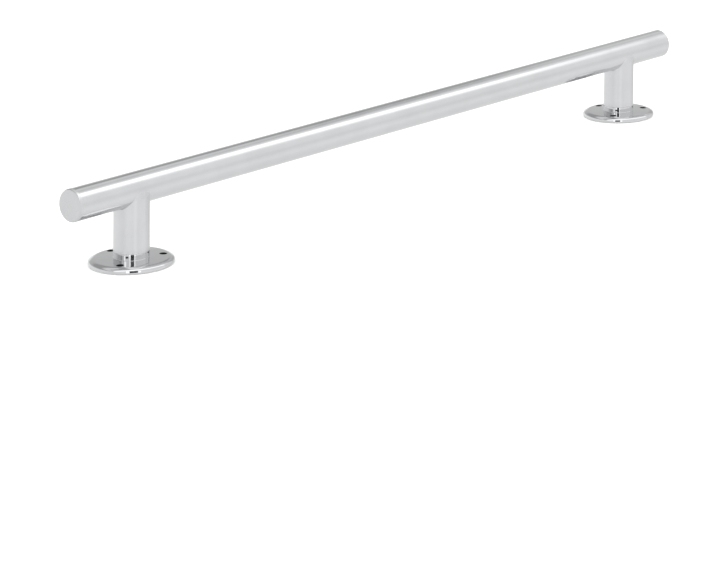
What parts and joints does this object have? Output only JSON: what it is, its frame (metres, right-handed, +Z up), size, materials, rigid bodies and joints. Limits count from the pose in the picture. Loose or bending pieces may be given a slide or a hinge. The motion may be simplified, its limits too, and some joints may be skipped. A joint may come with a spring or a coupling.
{
  "type": "grab rail",
  "caption": "Straight polished stainless grab rail: a round hand tube with plugged ends on two round posts, each on a round screw-down flange.",
  "frame": {"origin": "midway between the two posts, on the mounting plane (the flanges' undersides)", "axes": "+X along the rail from the near end to the far end, +Y across the rail to the side of each flange's single fixing hole, +Z up from the mounting plane to the rail"},
  "size_m": [0.71, 0.064, 0.0685],
  "materials": {
    "satin_tube": "polished stainless steel with a fine satin grain along the tube",
    "dressed_weld": "stainless weld, ground and polished flush",
    "mirror_flange": "mirror-polished stainless steel",
    "turned_steel": "machined stainless steel, as turned"
  },
  "bodies": {
    "root": {"rail_tube": "satin_tube", "near_end_plug": "satin_tube", "far_end_plug": "satin_tube", "near_plug_weld": "dressed_weld", "far_plug_weld": "dressed_weld", "near_post_tube": "satin_tube", "far_post_tube": "satin_tube", "near_saddle_weld": "dressed_weld", "far_saddle_weld": "dressed_weld", "near_foot_bush": "turned_steel", "far_foot_bush": "turned_steel", "near_bush_weld": "dressed_weld", "far_bush_weld": "dressed_weld", "near_flange": "mirror_flange", "far_flange": "mirror_flange", "near_flange_screw": "turned_steel", "far_flange_screw": "turned_steel"}
  },
  "joints": []
}
